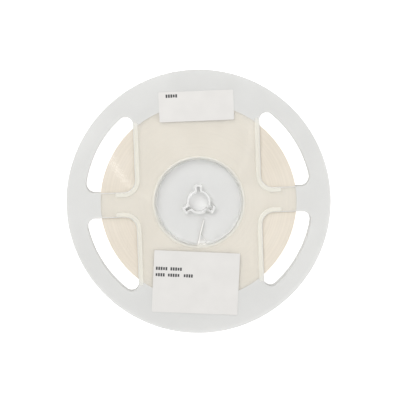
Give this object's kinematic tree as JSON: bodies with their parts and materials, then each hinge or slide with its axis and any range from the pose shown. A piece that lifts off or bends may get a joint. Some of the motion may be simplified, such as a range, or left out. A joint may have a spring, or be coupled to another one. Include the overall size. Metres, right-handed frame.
{
  "type": "smd tape reel",
  "caption": "Translucent moulded reel for surface-mount carrier tape, with a recessed keyed hub, windowed flanges, wound tape and two blank paper labels.",
  "frame": {"origin": "centre of the reel's resting plane, on the axis of the arbor hole", "axes": "+Z along the reel's axis towards the labelled flange, +Y up the labels, +X to the right of the labels"},
  "size_m": [0.178, 0.178, 0.012],
  "materials": {
    "moulded_polystyrene": "satin, milky and slightly translucent",
    "paper_carrier": "matt",
    "cover_film": "clear, slightly hazy",
    "adhesive_tab": "satin",
    "label_paper": "matt"
  },
  "bodies": {
    "root": {"front_half": "moulded_polystyrene", "rear_half": "moulded_polystyrene", "carrier_tape": "paper_carrier", "cover_tape": "cover_film", "end_tab": "adhesive_tab", "upper_label": "label_paper", "lower_label": "label_paper"}
  },
  "joints": []
}
